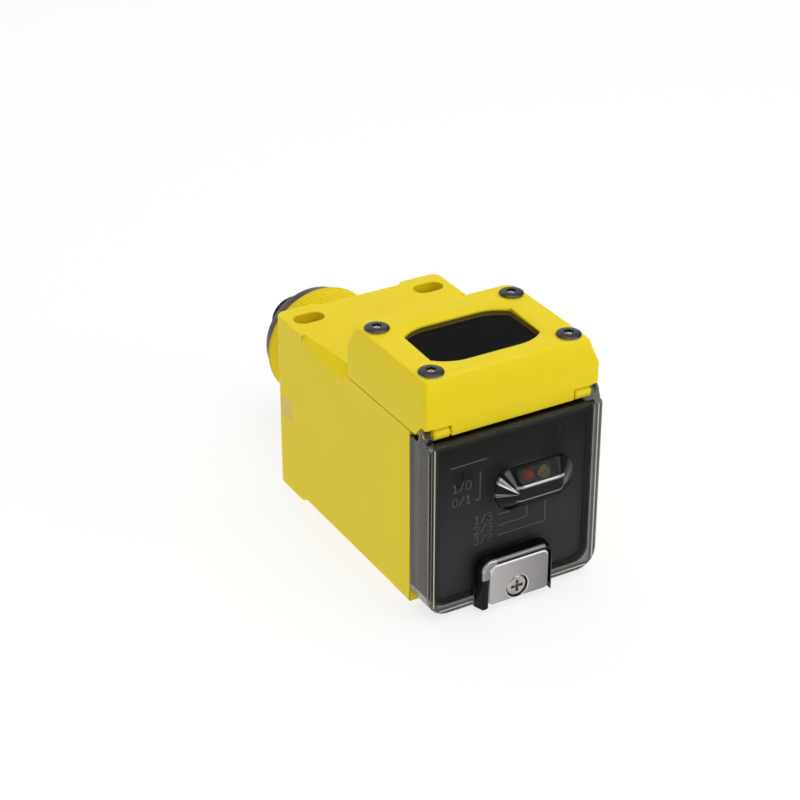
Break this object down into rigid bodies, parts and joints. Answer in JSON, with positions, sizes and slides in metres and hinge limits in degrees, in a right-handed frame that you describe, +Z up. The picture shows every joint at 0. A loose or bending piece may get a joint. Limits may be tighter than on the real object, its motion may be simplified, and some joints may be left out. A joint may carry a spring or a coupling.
{
  "type": "photoelectric sensor",
  "caption": "Compact block photoelectric sensor with a side-looking lens head, hinged clear control lid, slotted mounting ears, threaded hub and round plug inlet.",
  "frame": {"origin": "centre of the bounding box's bottom, on the plane of the mounting ears' feet", "axes": "+Z up towards the lens window, +Y backwards along the hub's axis towards the plug, +X across the sensor; the hinged lid faces -Y"},
  "size_m": [0.0446, 0.1112, 0.0592],
  "materials": {
    "yellow_body": "satin moulded polyester",
    "smoked_lid": "clear smoked polycarbonate, polished",
    "filter": "dark infrared filter acrylic, polished",
    "black_plastic": "black nylon, fine grain",
    "rubber": "black seal rubber",
    "panel": "dark grey with thin tan marking lines",
    "stainless": "bright stainless steel",
    "dark_steel": "dark plated steel",
    "nickel": "dull nickel plate",
    "brass": "machined",
    "gold": "gold plated",
    "clear_lens": "clear acrylic",
    "board": "green solder mask",
    "red_lamp": "tinted epoxy",
    "yellow_lamp": "tinted epoxy",
    "green_lamp": "tinted epoxy",
    "blue_plastic": "blue sleeve or case",
    "white_plastic": "white nylon",
    "sleeve_brown": "wire sleeve",
    "sleeve_white": "wire sleeve",
    "sleeve_blue": "wire sleeve",
    "sleeve_black": "wire sleeve"
  },
  "bodies": {
    "body": {"housing": "yellow_body", "sensor_head": "yellow_body", "hinge_pin_left": "yellow_body", "hinge_pin_right": "yellow_body", "window": "filter", "photodiode": "filter", "lens_holder": "black_plastic", "gain_potentiometer": "black_plastic", "controller_chip": "black_plastic", "board_header": "black_plastic", "connector_insert": "black_plastic", "head_gasket": "rubber", "window_gasket": "rubber", "lid_gasket": "rubber", "connector_gasket": "rubber", "control_panel": "panel", "head_screw_front_left": "dark_steel", "head_screw_front_right": "dark_steel", "head_screw_rear_left": "dark_steel", "head_screw_rear_right": "dark_steel", "connector_shell": "nickel", "clamp_insert": "brass", "contact_pin_1": "gold", "contact_pin_2": "gold", "contact_pin_3": "gold", "contact_pin_4": "gold", "emitter_lens": "clear_lens", "receiver_lens": "clear_lens", "infrared_emitter": "clear_lens", "optics_board": "board", "panel_board": "board", "main_board": "board", "lamp_red": "red_lamp", "lamp_yellow": "yellow_lamp", "lamp_green": "green_lamp", "filter_capacitor": "blue_plastic", "output_relay": "blue_plastic", "mode_switch_body": "white_plastic", "terminal_block": "white_plastic", "lead_wire_1": "sleeve_brown", "lead_wire_2": "sleeve_white", "lead_wire_3": "sleeve_blue", "lead_wire_4": "sleeve_black"},
    "lid": {"lid": "smoked_lid", "clamp_plate": "stainless"},
    "clamp_screw": {"clamp_screw": "stainless"},
    "gain_adjuster": {"gain_adjuster": "black_plastic"},
    "mode_selector": {"mode_selector": "black_plastic"}
  },
  "joints": [
    {"name": "lid_hinge", "type": "hinge", "parent": "body", "child": "lid", "pos_m": [0, -0.04875, 0.0462], "axis": [-1, 0, 0], "range_deg": [0, 90]},
    {"name": "clamp_screw_turn", "type": "hinge", "parent": "lid", "child": "clamp_screw", "pos_m": [-0.0008, -0.05195, 0.00455], "axis": [0, 1, 0], "continuous": true},
    {"name": "gain_turn", "type": "hinge", "parent": "body", "child": "gain_adjuster", "pos_m": [0.011, -0.04755, 0.0376], "axis": [0, 1, 0], "range_deg": [-135, 135]},
    {"name": "mode_turn", "type": "hinge", "parent": "body", "child": "mode_selector", "pos_m": [-0.0123, -0.04755, 0.0334], "axis": [0, 1, 0], "range_deg": [0, 90]}
  ]
}
